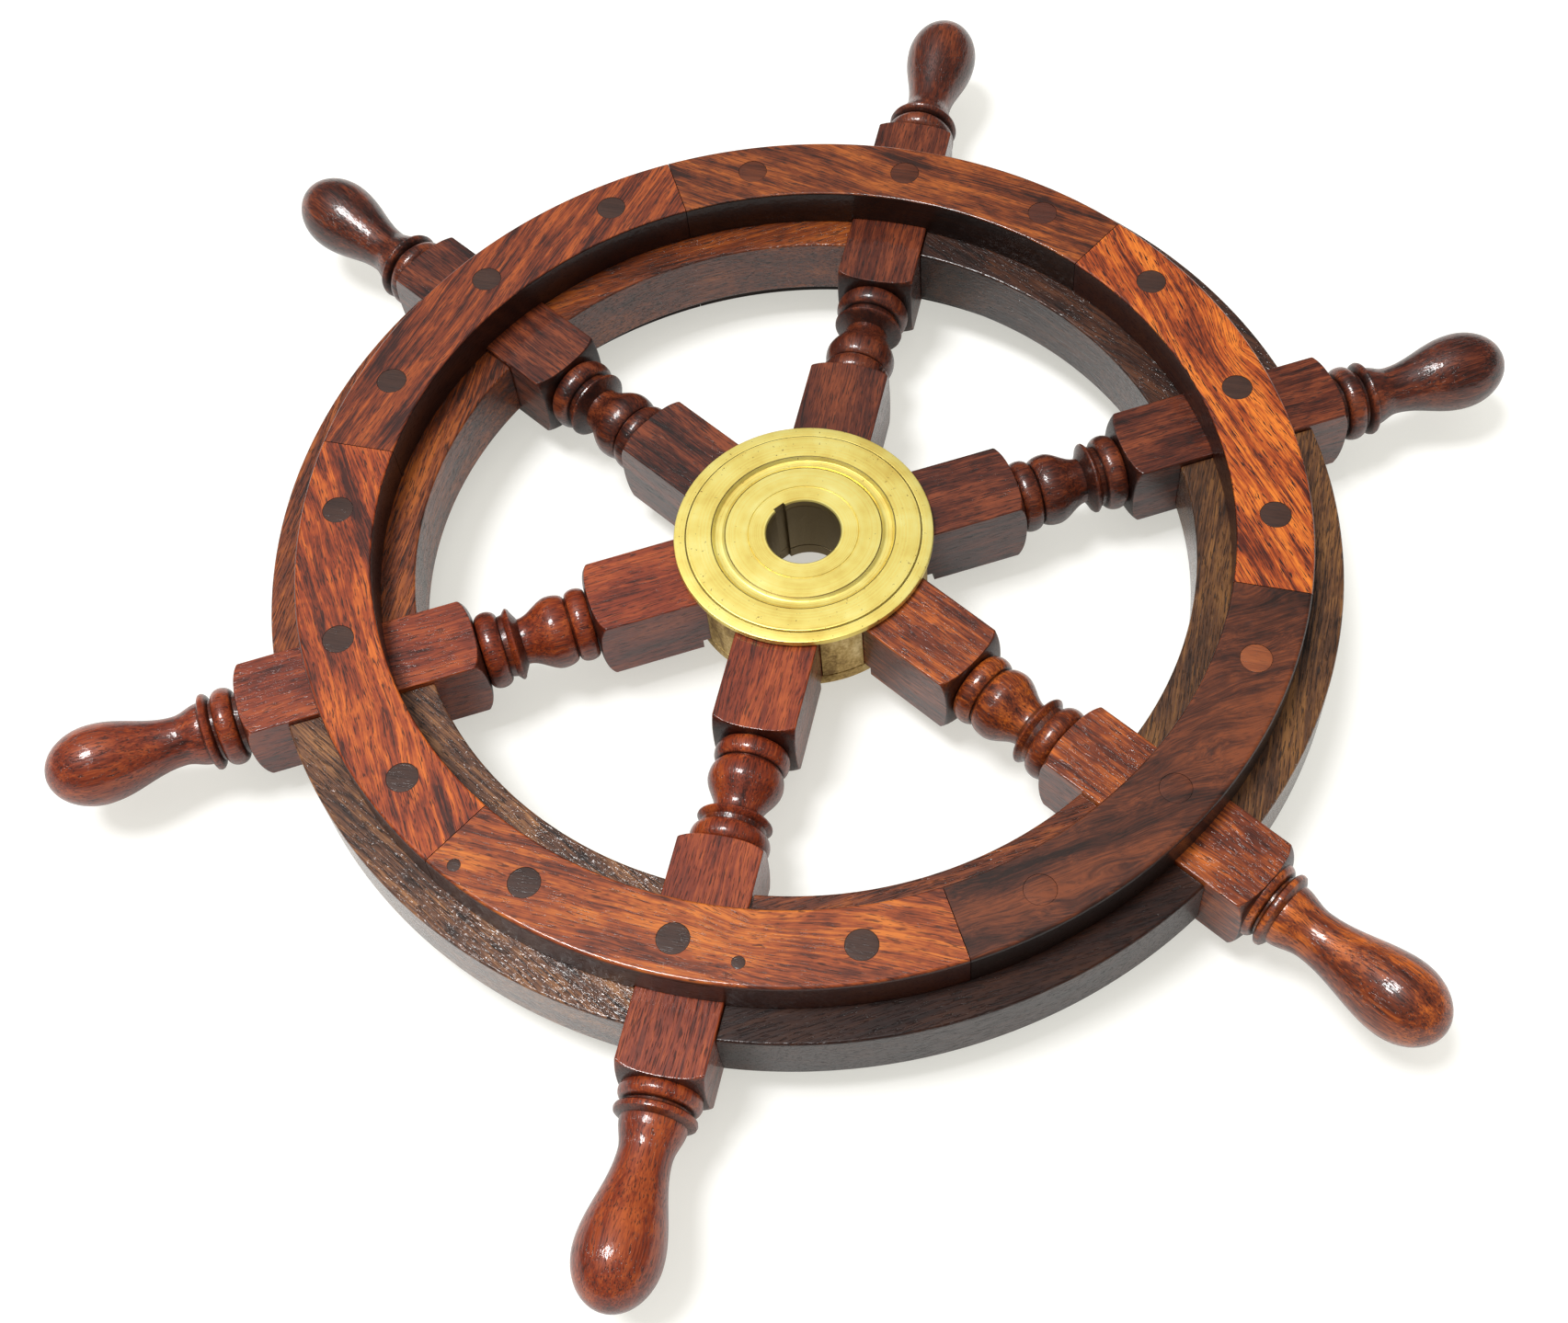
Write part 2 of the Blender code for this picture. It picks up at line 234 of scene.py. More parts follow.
def place(name, mesh, matrix, material, node, pattern_in=IN_PLACE):
    """A piece in its place. Its grain coordinates are those of its own frame, taken on into pattern_in, so
    that a pattern follows the piece."""
    piece_mesh = mesh.copy()
    grain = piece_mesh.attributes.new("grain", "FLOAT_VECTOR", "POINT")
    grain.data.foreach_set("vector", [c for v in piece_mesh.vertices for c in pattern_in @ v.co])
    lift = Matrix.Translation((0, 0, MIDDLE * MM))
    piece_mesh.transform(lift @ Matrix.Scale(MM, 4) @ matrix)
    piece_mesh.materials.clear()
    piece_mesh.materials.append(material)
    piece_mesh.shade_smooth()
    piece_mesh.set_sharp_from_angle(angle=math.radians(35))
    piece = bpy.data.objects.new(name, piece_mesh)
    bpy.context.scene.collection.objects.link(piece)
    weighted = piece.modifiers.new("flat faces stay flat", "WEIGHTED_NORMAL")
    weighted.keep_sharp = True
    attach(piece, "root")
    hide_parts(node)
    return piece


def turned_by(degrees):
    return Matrix.Rotation(math.radians(degrees), 4, "Z")


# Spokes


def bead(start, end, crest, steps=14):
    """A half-round ridge between two roots, as (distance, radius) points."""
    middle, half = (start + end) / 2, (end - start) / 2
    turns = [math.pi * i / steps for i in range(steps + 1)]
    return [(middle - half * math.cos(t), ROOT + (crest - ROOT) * math.sin(t)) for t in turns]


def swell(start, end, first, last, steps=14):
    """A smooth S from one radius to another, level at both ends."""
    shares = [i / steps for i in range(1, steps + 1)]
    rise = [(1 - math.cos(math.pi * t)) / 2 for t in shares]
    return [(start + (end - start) * t, first + (last - first) * up) for t, up in zip(shares, rise)]


def round_over(start, end, first, last, steps=10):
    """A quarter-ellipse that leaves the first radius level and meets the last one square."""
    turns = [math.pi / 2 * i / steps for i in range(steps + 1)]
    return [(start + (end - start) * math.sin(t), last + (first - last) * math.cos(t)) for t in turns]


def baluster():
    """Between the hub and rim blocks: bead, vase, fillet and bead."""
    vase = round_over(103.5, 97.4, 14.6, 11.9)[::-1] + swell(103.5, 117.0, 14.6, 9.2)
    fillet = [(118.9, 12.6), (119.4, 13.8), (120.0, 14.4), (120.6, 14.5), (121.1, 14.1), (122.4, 12.6)]
    return bead(88.8, 97.0, 14.7) + vase + fillet + bead(124.4, 133.4, 15.4)


def handle(shift, fullness):
    """Outside the rim: bead, fillet, flared neck and a rounded grip. shift moves the fillet outwards, and
    fullness is the grip's greatest radius."""
    fillet = [(236.3, 12.2), (236.9, 14.0), (237.7, 15.0), (238.7, 15.3)]
    fillet += [(239.6, 15.0), (240.3, 13.9), (241.0, 12.3)]
    points = bead(227.6, 235.4, 15.4) + fillet
    points += swell(241.0, 252.0, 12.3, 9.8) + swell(252.0, HANDLE_CREST, 9.8, fullness, 24)
    moved = [(s + shift * max(0.0, 1 - abs(s - FILLET) / FILLET_SWAY), r) for s, r in points]
    return moved + round_over(HANDLE_CREST, TIP, fullness, 0.0, 16)[1:]


def square_outline(half, ease):
    """(angle, radius) of points round a square with eased corners."""
    inner = half - ease
    side = [(half, inner * (2 * i / OUTLINE - 1)) for i in range(OUTLINE + 1)]
    corner = []
    for degrees in (22.5, 45.0, 67.5):
        x, y = polar(ease, degrees)
        corner.append((inner + x, inner + y))
    points = []
    for quarter in range(4):
        for y, z in side + corner:
            points.append((math.atan2(z, y) + quarter * math.pi / 2, math.hypot(y, z)))
    return points


def pommel(face, end, reach, steps=10):
    """Where one line of a square block meets its rounded end, and the way down to the root, the crease
    eased."""
    direction = math.copysign(1.0, end - face)
    depth, drop = end - face, STOCK - ROOT
    start = math.acos((reach - ROOT) / drop)
    ease = CREASE / math.hypot(depth * math.cos(start), drop * math.sin(start))
    crease = face + depth * math.sin(start)
    turns = [start + ease + (math.pi / 2 - start - ease) * i / steps for i in range(steps + 1)]
    down = [(face + depth * math.sin(t), ROOT + drop * math.cos(t)) for t in turns]
    before = (crease - CREASE * direction, reach)
    middle = tuple((a + b) / 4 + c / 2 for a, b, c in zip(before, down[0], (crease, reach)))
    return [before, middle, *down]


def spoke_mesh(shift, fullness, drilled_at):
    """Square in the hub and through the rim, turned elsewhere, with a narrow tenon at the hub end."""
    lines = []
    for angle, reach in square_outline(BLOCK - BLOCK_SLACK, BLOCK_EASE):
        line = [(TENON_START, reach)] + 2 * [(SHOULDER + GAP, reach)] + 2 * [(DRUM + GAP, reach)]
        line += pommel(HUB_BLOCK_END, HUB_BLOCK_END + POMMEL, reach)
        line += baluster()
        line += pommel(RIM_BLOCK_START, RIM_BLOCK_START - POMMEL, reach)[::-1]
        line += pommel(RIM_BLOCK_END, RIM_BLOCK_END + POMMEL, reach)
        line += handle(shift, fullness)
        lines.append([(s, r * math.cos(angle), r * math.sin(angle)) for s, r in line])
    rings = [list(ring) for ring in zip(*lines)]
    for k in range(4):
        half = TENON_HALF if k < 2 else BLOCK
        rings[k] = [(x, max(-half, min(half, y)), max(-TENON_FOOT, z)) for x, y, z in rings[k]]
    mesh = skin("spoke", rings)
    return cut(mesh, [rod(PEG_HOLE, -BLOCK - PAST, BLOCK + PAST, drilled_at)])


# Rim


def eased_rectangle(inner, outer, low, high, eases, steps=5):
    """(radius, height) points round a rectangle. The eases are for its outer top, outer foot, inner foot and
    inner top."""
    corners = [(outer, high, 1, 1), (outer, low, 1, -1), (inner, low, -1, -1), (inner, high, -1, 1)]
    points = []
    for (r, z, right, up), ease, start in zip(corners, eases, (90, 0, -90, -180)):
        centre = (r - right * ease, z - up * ease)
        for i in range(steps + 1):
            x, y = polar(ease, start - 90 * i / steps)
            points.append((centre[0] + x, centre[1] + y))
    return points


def arc_mesh(name, section, end_gap, steps=48):
    """A sixth of a ring, its ends flat and end_gap away from the radial planes that bound it."""
    rings = []
    for k in range(steps + 1):
        share = 2 * k / steps - 1
        ring = []
        for r, z in section:
            half = 30 - math.degrees(math.asin(end_gap / r))
            ring.append((*polar(r, share * half), z))
        rings.append(ring)
    return skin(name, rings)


def felloe_mesh(drilled_at):
    section = eased_rectangle(FELLOE_INNER, FELLOE_OUTER, FELLOE_LOW, FELLOE_HIGH, (1.1, 2.0, 1.2, 0.9))
    holes = [rod(PEG_HOLE, FELLOE_LOW - PAST, FELLOE_HIGH + PAST, at) for at in drilled_at]
    return cut(arc_mesh("felloe", section, BLOCK + GAP), holes)


def ring_mesh(drilled_at, fillers=()):
    """A front segment: channelled underneath for its spoke, and drilled for its pegs and any fillers."""
    section = eased_rectangle(RING_INNER, RING_OUTER, RING_LOW, RING_HIGH, (1.7, 0.3, 0.3, 1.0))
    reach = BLOCK + GAP
    channel = box((RING_INNER - PAST, -reach, 0), (RING_OUTER + PAST, reach, reach))
    holes = [rod(PEG_HOLE, RING_LOW - PAST, RING_HIGH + PAST, at) for at in drilled_at]
    holes += [rod(FILLER_HOLE, FILLER_LOW - GAP, RING_HIGH + PAST, at) for at in fillers]
    return cut(arc_mesh("ring", section, GAP / 2), [channel, *holes])


def plug_mesh(radius, low, high):
    """A peg with a slightly crowned end."""
    crown = [(radius * share, high - 0.08 * share**4) for share in (0.0, 0.4, 0.7, 0.9, 1.0)]
    return lathe("plug", [*crown, (radius, low), (0.0, low)], steps=56)


# Hub


def keyway():
    low = (BORE - PAST, -KEYWAY_HALF, BACK_LOW - PAST)
    return box(low, (BORE + KEYWAY_DEPTH, KEYWAY_HALF, PLATE_HIGH + PAST), KEYWAY_TURN)


def groove(radius, width, depth, top):
    """A fine V in a flat face, as (radius, height) points from outside in."""
    return [(radius + width / 2, top), (radius, top - depth), (radius - width / 2, top)]


def plate_mesh():
    """The front plate: bevelled rim, step, recessed ring, fine lines and a boss round the bore."""
    top = PLATE_HIGH
    rim = [(PLATE - 1.2, PLATE_LOW), (PLATE - 0.3, PLATE_LOW + 0.2), (PLATE, PLATE_LOW + 0.8)]
    rim += [(PLATE, top - 1.1), (PLATE - 0.15, top - 0.8), (PLATE - 0.5, top - 0.65)]
    step = [(47.2, top - 0.55), (46.75, top - 0.62), (EDGE_STEP, top - 0.95)]
    step += [(46.4, top - 0.95), (46.2, top - 0.12), (45.9, top)]
    recess = [(RECESS_OUTER, top), (36.05, top - 0.12), (35.3, top - 1.25), (34.9, top - 1.45)]
    recess += [(32.6, top - 1.5), (31.9, top - 1.35), (31.1, top - 0.62), (30.7, top - 0.5)]
    line = groove(BOSS_LINE, 0.5, 0.22, top - 0.5)
    bore = [(BORE + 0.5, top - 0.5), (BORE, top - 1.0), (BORE, PLATE_LOW)]
    return cut(lathe("plate", rim + step + recess + line + bore), [keyway()])


def sockets():
    """Room in the drum for each spoke's block and tenon."""
    low, high = DRUM_LOW - PAST, DRUM_HIGH + PAST
    wide, narrow = BLOCK + GAP, TENON_HALF + GAP
    cutters = []
    for k in range(6):
        turn_deg = 30 + 60 * k
        cutters.append(box((SHOULDER, -wide, low), (DRUM + PAST, wide, high), turn_deg))
        cutters.append(box((TENON_START - GAP, -narrow, low), (SHOULDER + PAST, narrow, high), turn_deg))
    return cutters


def screw_profile(grow=0.0):
    top, radius = SCREW_HIGH + grow, SCREW_RADIUS + grow
    neck = SCREW_LOW + SCREW_HEAD - SCREW_RADIUS
    return [(0.0, top), (radius, top), (radius, neck), (SCREW_HEAD + grow, SCREW_LOW)]


def screw_holes():
    foot = BACK_LOW - PAST
    hole = lathe("hole", [*screw_profile(GAP), (SCREW_HEAD + GAP, foot), (0.0, foot)], steps=32)
    holes = []
    for k in range(6):
        holes.append(hole.copy())
        holes[-1].transform(Matrix.Translation((*polar(SCREW_CIRCLE, 60 * k), 0)))
    return holes


def wall_mesh(name, low, high, cutters):
    """A thick ring of the drum's size, its edges just broken."""
    section = eased_rectangle(BORE, DRUM, low, high, (0.4, 0.4, 0.3, 0.3), 2)
    return cut(lathe(name, section), [keyway(), *screw_holes(), *cutters])


def screw_mesh():
    body = lathe("screw", [*screw_profile(), (0.0, SCREW_LOW)], steps=32)
    half, reach = SLOT_WIDTH / 2, SCREW_HEAD + PAST
    slot = box((-half, -reach, SCREW_LOW - PAST), (half, reach, SCREW_LOW + SLOT_DEPTH))
    return cut(body, [slot])


# Shading


def feed(tree, node, inputs):
    """Sets a node's inputs, each from a value or from another node's socket."""
    for key, value in inputs.items():
        if isinstance(value, bpy.types.NodeSocket):
            tree.links.new(value, node.inputs[key])
        else:
            node.inputs[key].default_value = value


def add(tree, kind, inputs=(), **settings):
    """A new shader node."""
    made = tree.nodes.new(kind)
    for key, value in settings.items():
        setattr(made, key, value)
    feed(tree, made, dict(inputs))
    return made


def new_material(name):
    material = bpy.data.materials.new(name)
    material.use_nodes = True
    return material, material.node_tree, material.node_tree.nodes["Principled BSDF"]


def maths(tree, operation, *values):
    return add(tree, "ShaderNodeMath", dict(enumerate(values)), operation=operation).outputs[0]


def vector_maths(tree, operation, *values):
    return add(tree, "ShaderNodeVectorMath", dict(enumerate(values)), operation=operation).outputs[0]


def vector_value(tree, operation, *values):
    """A vector operation whose answer is a number."""
    made = add(tree, "ShaderNodeVectorMath", dict(enumerate(values)), operation=operation)
    return made.outputs["Value"]


def piece_space(tree):
    """Coordinates in mm in the frame of the piece."""
    return add(tree, "ShaderNodeAttribute", attribute_name="grain").outputs["Vector"]


def noise(tree, vector, sizes, seed=0.0, detail=3.0, output="Fac"):
    """Cloudy noise whose blobs are about sizes mm long."""
    mapping = {"Vector": vector, "Scale": [1 / size for size in sizes]}
    mapping["Location"] = (seed, seed * 0.7, seed * 1.3)
    space = add(tree, "ShaderNodeMapping", mapping)
    inputs = {"Vector": space.outputs[0], "Scale": 1.0, "Detail": detail, "Roughness": 0.6}
    return add(tree, "ShaderNodeTexNoise", inputs).outputs[output]


def weighted(tree, contrast, *terms):
    """A signal about a half: each (signal, weight) sways it by its weight times contrast."""
    total = 0.5 - contrast * sum(weight for _, weight in terms) / 2
    for signal, weight in terms:
        total = maths(tree, "MULTIPLY_ADD", signal, contrast * weight, total)
    return total


def ramp(tree, factor, stops):
    """stops are (position, colour or grey)."""
    made = add(tree, "ShaderNodeValToRGB", {"Fac": factor})
    elements = made.color_ramp.elements
    elements.remove(elements[1])
    for index, (position, colour) in enumerate(stops):
        element = elements[0] if index == 0 else elements.new(position)
        element.position = position
        element.color = (*colour, 1.0) if isinstance(colour, tuple) else (colour, colour, colour, 1.0)
    return made.outputs["Color"]


def mix(tree, factor, first, second):
    made = add(tree, "ShaderNodeMix", {0: factor, 6: first, 7: second}, data_type="RGBA")
    return made.outputs[2]


def bump(tree, height, depth, more=()):
    """A normal from a height signal that stands for that many mm."""
    inputs = {"Height": height, "Strength": 1.0, "Distance": depth * MM, **dict(more)}
    return add(tree, "ShaderNodeBump", inputs).outputs[0]


def srgb(red, green, blue):
    """A colour of 0 to 255 parts, as linear light."""
    parts = []
    for value in (red, green, blue):
        share = value / 255
        parts.append(share / 12.92 if share <= 0.04045 else ((share + 0.055) / 1.055) ** 2.4)
    return tuple(parts)


def shade(colour, share=1.0):
    """A colour, darkened to a share of itself, as a mix takes it."""
    return (*(part * share for part in colour), 1.0)


def bent_round(tree, along, knot):
    """The grain drawn sideways to a point over a knot, which is (place along and across the grain, lift,
    length, width)."""
    x, y, lift, length, width = knot
    away = vector_maths(tree, "SUBTRACT", along, (x, y, 0))
    flat = vector_maths(tree, "MULTIPLY", away, (1 / length, 1 / width, 0))
    distance = vector_value(tree, "LENGTH", flat)
    share = maths(tree, "EXPONENT", maths(tree, "MULTIPLY", distance, -1.0))
    sideways = add(tree, "ShaderNodeCombineXYZ", {"Y": maths(tree, "MULTIPLY", share, -lift)}).outputs[0]
    return vector_maths(tree, "ADD", along, sideways)


def grain_space(tree, grain_deg, wander, seed, knot):
    """Coordinates in mm whose x axis runs along the grain, which wanders sideways."""
    turn = {"Vector": piece_space(tree), "Rotation": (0.0, 0.0, -math.radians(grain_deg))}
    along = add(tree, "ShaderNodeMapping", turn).outputs["Vector"]
    if knot:
        along = bent_round(tree, along, knot)
    drift = noise(tree, along, (70, 24, 24), seed, 2.0, "Color")
    centred = vector_maths(tree, "SUBTRACT", drift, (0.5, 0.5, 0.5))
    return vector_maths(tree, "ADD", along, vector_maths(tree, "MULTIPLY", centred, (0, wander, wander)))


def distance_from_axis(tree):
    """Distance in mm from the wheel's axis, or from a round piece's own."""
    return vector_value(tree, "LENGTH", vector_maths(tree, "MULTIPLY", piece_space(tree), (1, 1, 0)))


def facing(tree, direction):
    """How squarely a face looks along a direction or against it: 1 head on, 0 edge on."""
    normal = add(tree, "ShaderNodeNewGeometry").outputs["Normal"]
    return maths(tree, "ABSOLUTE", vector_value(tree, "DOT_PRODUCT", normal, direction))


def upright_faces(tree):
    """A mask of the faces that stand upright, such as the walls of the rim."""
    return ramp(tree, facing(tree, (0.0, 0.0, 1.0)), [(0.45, 0.95), (0.85, 0.0)])


def painted_crease_shade(tree):
    """A mask of creases and the roots of beads, where the colour is darkened as painted shade."""
    crease = add(tree, "ShaderNodeNewGeometry").outputs["Pointiness"]
    return ramp(tree, crease, [(0.4, 0.9), (0.485, 0.0)])


def across_spoke(turn_deg):
    """The mask of a spoke's faces that look along it: the ends of its blocks and the flanks of its beads, but
    not the end of its grip."""

    def mask(tree):
        flank = ramp(tree, facing(tree, (*polar(1.0, turn_deg), 0.0)), [(0.72, 0.0), (0.95, 0.85)])
        inboard = maths(tree, "LESS_THAN", distance_from_axis(tree), HANDLE_CREST)
        return maths(tree, "MULTIPLY", flank, inboard)

    return mask


def outer_ledge(tree):
    """A mask of the part of a felloe outside the rings."""
    outwards = maths(tree, "SUBTRACT", distance_from_axis(tree), RING_INNER)
    share = maths(tree, "DIVIDE", outwards, RING_OUTER - RING_INNER)
    return ramp(tree, share, [(0.2, 0.0), (0.9, 0.9)])


USUAL_WOOD = {
    "figure": 3.0,  # the streaks' width in mm
    "wander": 7.0,  # how far they stray in mm
    "lines": 1.0,  # how strong they are
    "contrast": 1.0,  # how strong all the figure is
    "pore": 0.7,  # how dark the pores are
    "relief": 0.05,  # how deep the pores are in mm
    "coat": 0.8,  # how thick the lacquer is
    "ripple": (4.0, 1.6, 0.16),  # the length, width and height in mm of the swellings in the lacquer
}


def wood(name, palette, grain_deg=0.0, seed=0.0, knot=None, stain_and_shade=None, **look):
    """Lacquered open-pored timber: streaks that wander along the grain, clouds, fine fibres and pores.

    grain_deg turns the grain from the piece's x axis, and the stain-and-shade argument makes a mask of where it
    is nearly black and less lacquered: stain on the block ends and bead flanks of the spokes, painted shade on
    the upright walls of the rings, and the outer ledge of felloe 1 darkened.
    USUAL_WOOD lists the rest of the look."""
    look = {**USUAL_WOOD, **look}
    material, tree, shader = new_material(name)
    dark, mid, light = palette
    grain = grain_space(tree, grain_deg, look["wander"], seed, knot)
    streaks = noise(tree, grain, (150, look["figure"], look["figure"]), seed + 3, 4.0)
    clouds = noise(tree, grain, (36, 13, 13), seed + 7)
    fibres = noise(tree, grain, (48, 0.7, 0.7), seed + 11)
    mottle = noise(tree, grain, (5.0, 1.8, 1.8), seed + 17)
    pores = noise(tree, grain, (6.0, 0.5, 0.5), seed + 23, 1.0)

    figure = ((streaks, look["lines"]), (clouds, 1.4), (fibres, 1.2), (mottle, 0.5))
    tone = weighted(tree, look["contrast"], *figure)
    colour = ramp(tree, tone, [(0.12, dark), (0.47, mid), (0.88, light)])
    open_pores = ramp(tree, pores, [(0.58, 0.0), (0.64, 1.0)])
    colour = mix(tree, maths(tree, "MULTIPLY", open_pores, look["pore"]), colour, shade(dark, 0.4))
    # painted shade in the creases and at the roots of beads
    colour = mix(tree, painted_crease_shade(tree), colour, shade(dark, 0.2))
    lacquer = look["coat"]
    # Nearly black where the mask is: stain on the spokes' ends, painted shade on the ring walls, a darkened
    # outer ledge on felloe 1
    if stain_and_shade:
        darkening = stain_and_shade(tree)
        colour = mix(tree, darkening, colour, shade(dark, 0.25))
        lacquer = maths(tree, "MULTIPLY_ADD", darkening, -0.6 * lacquer, lacquer)

    height = weighted(tree, 1.0, (fibres, 0.5), (mottle, 0.5), (open_pores, -look["pore"]))
    surface = bump(tree, height, look["relief"])
    length, width, ripple_height = look["ripple"]
    ripples = noise(tree, grain, (length, width, width), seed + 31, 2.0)
    shine = {
        "Base Color": colour,
        "Roughness": maths(tree, "MULTIPLY_ADD", open_pores, 0.2, 0.42),
        "Specular IOR Level": 0.3,
        "Coat Weight": lacquer,
        "Coat Roughness": 0.06,
        "Normal": surface,
        "Coat Normal": bump(tree, ripples, ripple_height, {"Normal": surface}),
    }
    feed(tree, shader, shine)
    return material


def any_near(tree, value, targets, reach):
    """1 where the value is within reach of any of the targets."""
    total = 0.0
    for target in targets:
        total = maths(tree, "MAXIMUM", maths(tree, "COMPARE", value, target, reach), total)
    return total


def polished_brass():
    """Bright brass with the fine rings of the lathe, painted shade in its grooves and bore, and a few specks
    towards its rim.
    """
    material, tree, shader = new_material("polished_brass")
    local = piece_space(tree)
    radius = distance_from_axis(tree)
    ring_space = add(tree, "ShaderNodeCombineXYZ", {"X": radius}).outputs[0]
    rings = noise(tree, ring_space, (0.35, 1, 1), 2.0, 4.0)
    clouds = noise(tree, local, (14, 14, 14), 4.0, 5.0)
    specks = noise(tree, local, (1.3, 1.3, 1.3), 6.0, 2.0)

    tone = weighted(tree, 1.0, (clouds, 0.9), (rings, 0.8))
    tarnished, plain, bright = srgb(242, 206, 98), srgb(255, 234, 130), srgb(255, 246, 160)
    colour = ramp(tree, tone, [(0.2, tarnished), (0.5, plain), (0.8, bright)])
    marks = maths(tree, "MULTIPLY_ADD", maths(tree, "DIVIDE", radius, PLATE), 0.12, specks)
    colour = mix(tree, ramp(tree, marks, [(0.78, 0.0), (0.84, 0.8)]), colour, shade(srgb(120, 70, 24)))
    # painted shade: dark lines at the step and at the edges of the recessed ring
    groove_shade = maths(tree, "MULTIPLY", any_near(tree, radius, (EDGE_STEP, RECESS_OUTER, RECESS_INNER), 0.2), 0.85)
    colour = mix(tree, groove_shade, colour, shade(srgb(70, 44, 18)))
    # painted shade down the walls of the bore and the keyway
    bore_shade = maths(tree, "LESS_THAN", radius, BORE + KEYWAY_DEPTH + GAP)
    bore_shade = maths(tree, "MULTIPLY", bore_shade, upright_faces(tree))
    colour = mix(tree, bore_shade, colour, shade(srgb(128, 112, 80)))
    shine = {
        "Base Color": colour,
        "Metallic": 0.75,
        "Roughness": maths(tree, "MULTIPLY_ADD", clouds, 0.2, 0.3),
        "Normal": bump(tree, rings, 0.03),
    }
    feed(tree, shader, shine)
    return material


def cast_brass():
    """Dull pitted brass, with painted shade inside the bore."""
    material, tree, shader = new_material("cast_brass")
    local = piece_space(tree)
    clouds = noise(tree, local, (7, 7, 20), 1.0, 5.0)
    pits = noise(tree, local, (1.4, 1.4, 1.4), 3.0)
    tone = weighted(tree, 1.0, (clouds, 1.6), (pits, 0.8))
    dull, plain, bright = srgb(136, 106, 58), srgb(200, 168, 102), srgb(240, 218, 160)
    colour = ramp(tree, tone, [(0.2, dull), (0.5, plain), (0.85, bright)])
    # painted shade inside the bore
    bore_shade = ramp(tree, maths(tree, "DIVIDE", distance_from_axis(tree), DRUM), [(0.36, 1.0), (0.4, 0.0)])
    colour = mix(tree, bore_shade, colour, shade(srgb(140, 124, 92)))
    surface = bump(tree, weighted(tree, 1.0, (clouds, 1.0), (pits, 0.3)), 0.4)
    feed(tree, shader, {"Base Color": colour, "Metallic": 0.8, "Roughness": 0.5, "Normal": surface})
    return material


# Timber of each piece: a palette of dark, mid and light, and how its grain lies

RED_BROWN = (srgb(52, 17, 9), srgb(118, 43, 18), srgb(166, 78, 32))
GOLD_STREAKED = (srgb(52, 19, 10), srgb(112, 46, 17), srgb(188, 96, 30))
# A darker copy of RED_BROWN, as painted shade on the far spokes 3 to 5.
SHADED_RED_BROWN = (srgb(34, 13, 8), srgb(78, 30, 15), srgb(124, 58, 28))
BLACK_BROWN = (srgb(24, 12, 8), srgb(50, 25, 15), srgb(84, 48, 28))
SMOKED = (srgb(34, 20, 14), srgb(94, 58, 38), srgb(156, 106, 64))
WALNUT = (srgb(42, 24, 13), srgb(84, 51, 27), srgb(128, 85, 42))
HONEY = (srgb(78, 29, 12), srgb(142, 63, 22), srgb(192, 106, 36))
BURL = (srgb(36, 18, 11), srgb(74, 34, 18), srgb(116, 57, 27))
ORANGE = (srgb(78, 25, 8), srgb(154, 64, 16), srgb(208, 113, 32))
AMBER_BROWN = (srgb(46, 19, 9), srgb(106, 46, 16), srgb(156, 81, 26))
CHESTNUT = (srgb(52, 18, 9), srgb(112, 44, 15), srgb(160, 76, 25))
RUSSET = (srgb(60, 20, 9), srgb(138, 53, 16), srgb(196, 98, 29))
PEG_BROWN = (srgb(42, 28, 24), srgb(60, 39, 32), srgb(78, 53, 43))
PEG_RED = (srgb(52, 24, 17), srgb(76, 38, 27), srgb(98, 52, 36))
PEG_ORANGE = (srgb(90, 44, 25), srgb(124, 64, 34), srgb(152, 84, 44))
PEG_AMBER = (srgb(44, 20, 13), srgb(84, 40, 22), srgb(116, 60, 32))

SPOKES = {
    1: {"shape": (-2.2, 15.9), "palette": RED_BROWN, "contrast": 0.8},
    2: {"shape": (-5.2, 15.6), "palette": GOLD_STREAKED, "figure": 4.0, "wander": 9.0, "contrast": 0.9},
    # spokes 3 to 5, on the far side, take the darkened palette as painted shade
    3: {"shape": (3.5, 15.8), "palette": SHADED_RED_BROWN, "figure": 3.5},
    4: {"shape": (2.1, 15.7), "palette": SHADED_RED_BROWN, "contrast": 0.8},
    5: {"shape": (0.4, 15.8), "palette": SHADED_RED_BROWN, "figure": 5.0, "contrast": 1.2},
    6: {"shape": (2.5, 15.8), "palette": RED_BROWN, "contrast": 0.8},
}
FELLOE_LOOK = {"grain_deg": 90, "figure": 2.5, "wander": 4.0, "pore": 0.8, "relief": 0.12, "coat": 1.0}
FELLOE_LOOK["ripple"] = (6.0, 1.0, 0.3)
FELLOES = {
    # felloe 1's outer ledge, outside the rings, is darkened nearly black
    1: {"palette": AMBER_BROWN, "stain_and_shade": outer_ledge},
    2: {"palette": WALNUT},
    3: {"palette": BLACK_BROWN},
    4: {"palette": AMBER_BROWN, "contrast": 0.8},
    5: {"palette": AMBER_BROWN, "contrast": 1.1},
    6: {"palette": SMOKED, "ripple": (4.0, 0.9, 0.45), "relief": 0.07, "figure": 1.5},
}
